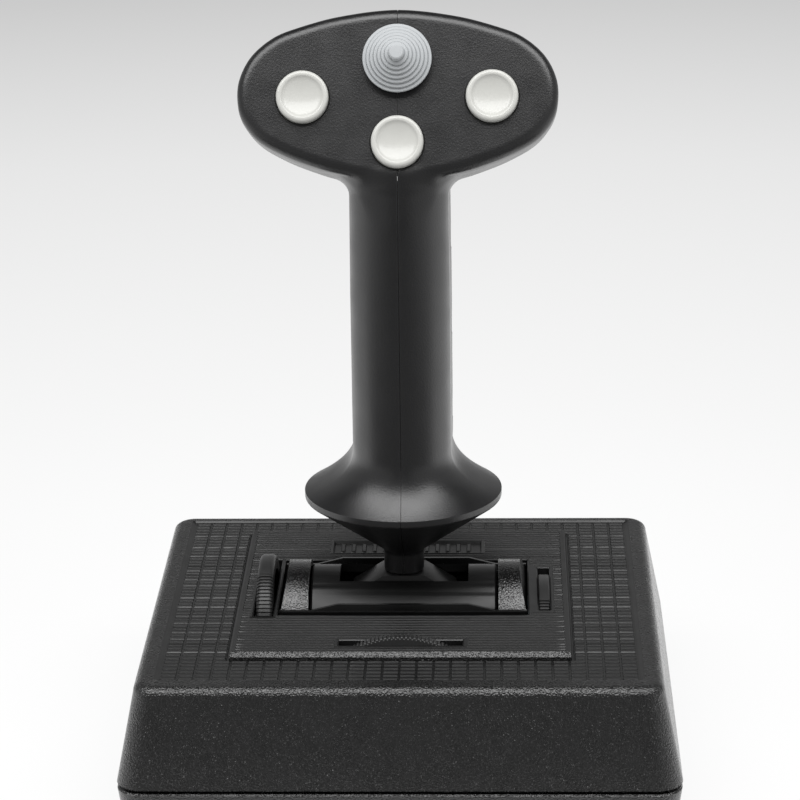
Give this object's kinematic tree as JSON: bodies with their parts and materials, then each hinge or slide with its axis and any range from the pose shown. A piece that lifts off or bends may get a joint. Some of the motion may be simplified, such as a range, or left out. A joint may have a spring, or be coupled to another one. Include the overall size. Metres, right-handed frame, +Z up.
{
  "type": "flight joystick",
  "caption": "Desktop flight joystick: tilting grip with buttons, hat switch and trigger on a square base with throttle and trim wheels.",
  "frame": {"origin": "on the rest plane, under the middle of the base, at the centre of the middle foot", "axes": "+X to the user's right, +Y away from the user, +Z up along the upright stick"},
  "size_m": [0.171, 0.219, 0.2351],
  "materials": {
    "base_plastic": "black, fine pebble grain",
    "cap_plastic": "black, light grain, semi-gloss",
    "grip_plastic": "charcoal, fine satin grain",
    "button_white": "warm white, smooth",
    "hat_grey": "cool light grey, moulded steps",
    "wheel_black": "black, toothed rim",
    "drum_plastic": "dark, satin",
    "rubber": "black rubber",
    "steel": "plated steel",
    "shaft_steel": "polished shaft",
    "bronze": "sintered bronze",
    "pot_case": "blue-grey can",
    "sheet": "plain sheet",
    "board": "green laminate",
    "component": "moulded black",
    "wire": "wire bundle",
    "cable_skin": "black cable sheath"
  },
  "bodies": {
    "base": {"base_housing": "base_plastic", "base_plate": "base_plastic", "rubber_feet": "rubber", "base_screws": "steel", "gimbal_frame": "drum_plastic", "left_bearing_cap": "cap_plastic", "right_bearing_cap": "cap_plastic", "frame_screws": "steel", "pitch_bushes": "bronze", "roll_bushes": "bronze", "pitch_spring": "steel", "roll_spring": "steel", "pitch_pot": "pot_case", "roll_pot": "pot_case", "throttle_pot": "pot_case", "pitch_trim_pot": "pot_case", "roll_trim_pot": "pot_case", "throttle_bracket": "sheet", "pitch_trim_bracket": "sheet", "roll_trim_bracket": "sheet", "bracket_screws": "steel", "circuit_board": "board", "board_components": "component", "board_screws": "steel", "strain_relief": "cable_skin", "cable": "cable_skin", "cable_tie": "cable_skin", "plug_shell": "cable_skin", "plug_contacts": "steel", "plug_screws": "component"},
    "pitch_carrier": {"pitch_drum": "drum_plastic", "pitch_pivots": "steel"},
    "roll_carrier": {"roll_bail": "sheet", "roll_pivots": "steel"},
    "stick": {"stick_shaft": "shaft_steel", "shaft_hub": "drum_plastic", "roll_pin": "steel", "tail_pin": "steel", "grip_left": "grip_plastic", "grip_right": "grip_plastic", "grip_screws": "steel", "switch_board": "board", "button_switches": "component", "hat_switches": "steel", "trigger_switch": "component", "trigger_pin": "steel", "trigger_spring": "steel", "grip_wiring": "wire", "hat_base": "component"},
    "hat_gimbal": {"hat_ring": "steel"},
    "hat": {"hat_cap": "hat_grey", "hat_pin": "steel"},
    "left_button": {"left_button": "button_white"},
    "right_button": {"right_button": "button_white"},
    "lower_button": {"lower_button": "button_white"},
    "trigger": {"trigger": "grip_plastic"},
    "throttle": {"throttle_wheel": "wheel_black", "throttle_shaft": "steel"},
    "pitch_trim": {"pitch_trim_wheel": "wheel_black"},
    "roll_trim": {"roll_trim_wheel": "wheel_black"}
  },
  "joints": [
    {"name": "stick_pitch", "type": "hinge", "parent": "base", "child": "pitch_carrier", "pos_m": [0, 0.004, 0.0345], "axis": [1, 0, 0], "range_deg": [-20, 20], "stiffness_Nm_per_rad": 3},
    {"name": "stick_roll", "type": "hinge", "parent": "pitch_carrier", "child": "stick", "pos_m": [0, 0.004, 0.0345], "axis": [0, 1, 0], "range_deg": [-20, 20], "stiffness_Nm_per_rad": 3},
    {"name": "bail_turn", "type": "hinge", "parent": "base", "child": "roll_carrier", "pos_m": [0, 0.004, 0.0345], "axis": [0, 1, 0], "range_deg": [-20, 20]},
    {"name": "hat_tilt_up_down", "type": "hinge", "parent": "stick", "child": "hat_gimbal", "pos_m": [0, 0.00566, 0.219], "axis": [1, 0, 0], "range_deg": [-6, 6], "stiffness_Nm_per_rad": 0.05},
    {"name": "hat_tilt_side", "type": "hinge", "parent": "hat_gimbal", "child": "hat", "pos_m": [0, 0.00566, 0.219], "axis": [0, 0.4226, 0.9063], "range_deg": [-6, 6], "stiffness_Nm_per_rad": 0.05},
    {"name": "left_button_press", "type": "slide", "parent": "stick", "child": "left_button", "axis": [0, 0.9063, -0.4226], "range_m": [0, 0.0018], "stiffness_N_per_m": 300},
    {"name": "right_button_press", "type": "slide", "parent": "stick", "child": "right_button", "axis": [0, 0.9063, -0.4226], "range_m": [0, 0.0018], "stiffness_N_per_m": 300},
    {"name": "lower_button_press", "type": "slide", "parent": "stick", "child": "lower_button", "axis": [0, 0.9063, -0.4226], "range_m": [0, 0.0018], "stiffness_N_per_m": 300},
    {"name": "trigger_pull", "type": "hinge", "parent": "stick", "child": "trigger", "pos_m": [0, 0.017, 0.203], "axis": [-1, 0, 0], "range_deg": [0, 12], "stiffness_Nm_per_rad": 0.2},
    {"name": "throttle_turn", "type": "hinge", "parent": "base", "child": "throttle", "pos_m": [-0.0439, 0.004, 0.0345], "axis": [1, 0, 0], "range_deg": [-45, 45]},
    {"name": "pitch_trim_turn", "type": "hinge", "parent": "base", "child": "pitch_trim", "pos_m": [0.0443, 0.00255, 0.0208], "axis": [1, 0, 0], "range_deg": [-15, 15]},
    {"name": "roll_trim_turn", "type": "hinge", "parent": "base", "child": "roll_trim", "pos_m": [0, -0.0423, 0.0208], "axis": [0, 1, 0], "range_deg": [-15, 15]}
  ],
  "couplings": [
    {"joint": "bail_turn", "follows": "stick_roll", "ratio": 1}
  ]
}
